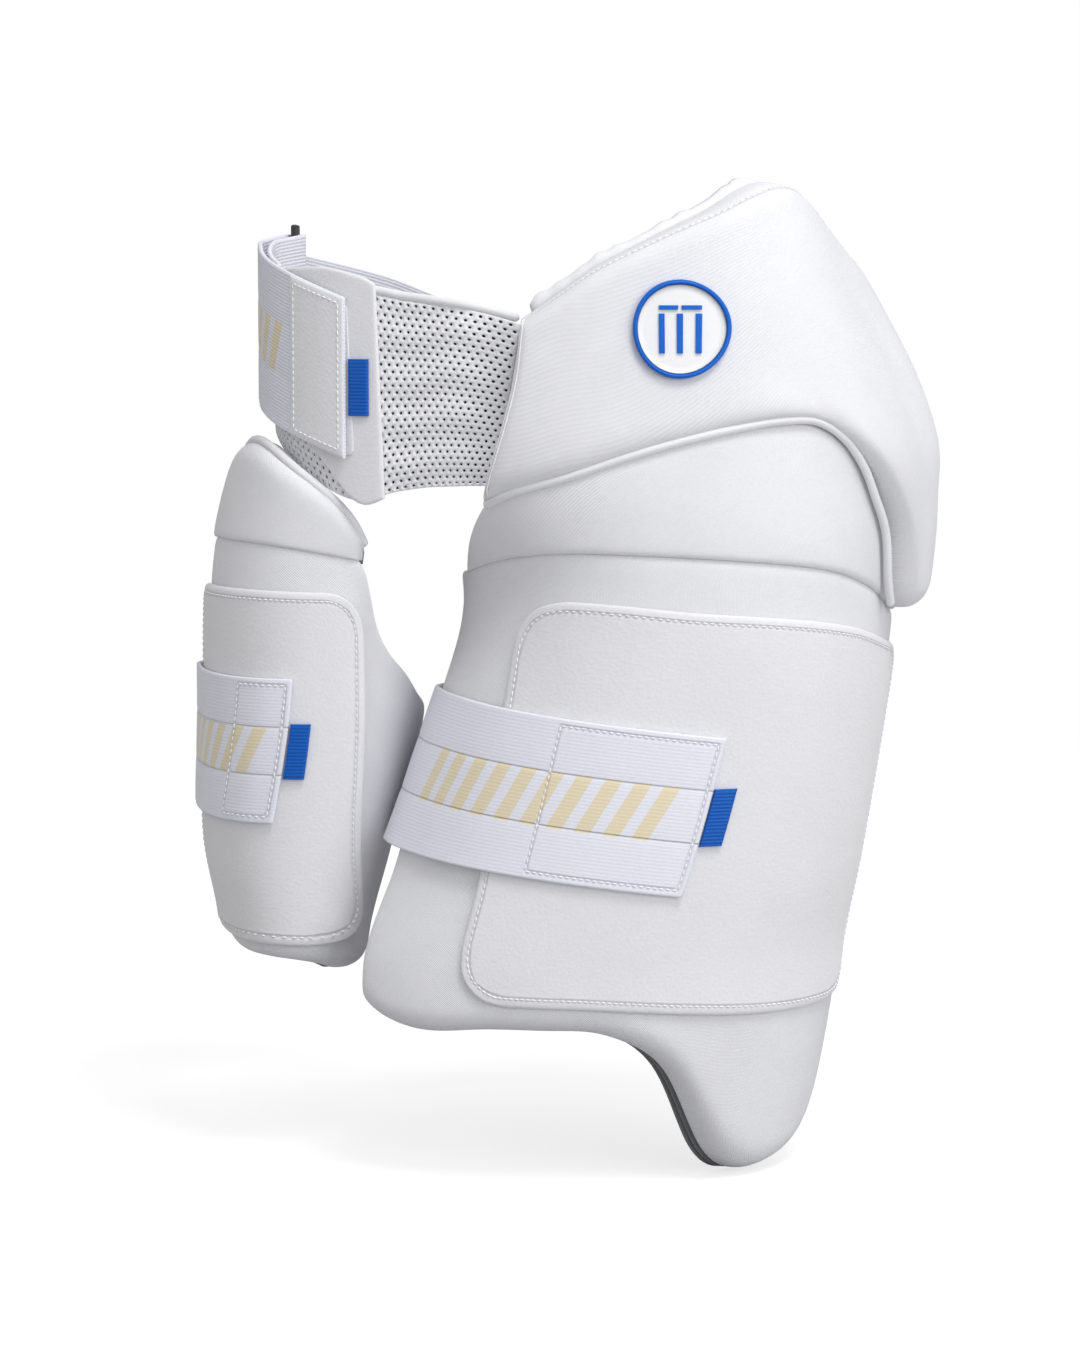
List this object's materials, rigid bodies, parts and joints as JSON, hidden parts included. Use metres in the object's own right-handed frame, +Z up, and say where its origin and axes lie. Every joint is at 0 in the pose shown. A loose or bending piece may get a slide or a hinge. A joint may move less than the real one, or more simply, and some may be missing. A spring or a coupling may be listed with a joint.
{
  "type": "thigh guard",
  "caption": "Cricket thigh guard on a waist belt: padded hip guard, thigh roll and thigh pad, and a smaller inner thigh pad, with elastic straps",
  "frame": {"origin": "middle of the waist loop, at the height of the belt's middle", "axes": "+Z up along the wearer's body, the wearer faces -Y, and the wearer's left hip with the hip guard is at +X"},
  "size_m": [0.3546, 0.2521, 0.4574],
  "materials": {
    "pad_fabric": "smooth micro-ribbed knit over foam",
    "cell_fabric": "knit over moulded foam cells",
    "loop_fabric": "brushed loop pile",
    "elastic": "ribbed woven elastic",
    "mesh": "perforated knit",
    "piping": "folded binding tape",
    "lining": "matt lining cloth",
    "label_blue": "woven tab",
    "badge_white": "soft moulded rubber",
    "badge_blue": "soft moulded rubber",
    "ring_plastic": "moulded plastic"
  },
  "bodies": {
    "root": {"hip_guard": "pad_fabric", "hip_lining": "cell_fabric", "hip_piping": "piping", "badge_disc": "badge_white", "badge_rim": "badge_blue", "badge_emblem": "badge_blue", "thigh_roll": "pad_fabric", "thigh_pad": "pad_fabric", "thigh_pad_lining": "lining", "thigh_patch": "loop_fabric", "thigh_strap": "elastic", "thigh_label": "label_blue", "inner_roll": "pad_fabric", "inner_piping": "piping", "inner_pad": "pad_fabric", "inner_pad_lining": "lining", "inner_patch": "loop_fabric", "inner_strap": "elastic", "inner_label": "label_blue", "belt_mesh": "mesh", "belt_binding": "piping", "belt_patch": "loop_fabric", "waist_strap": "elastic", "waist_label": "label_blue", "waist_ring": "ring_plastic", "back_elastic": "elastic"}
  },
  "joints": []
}
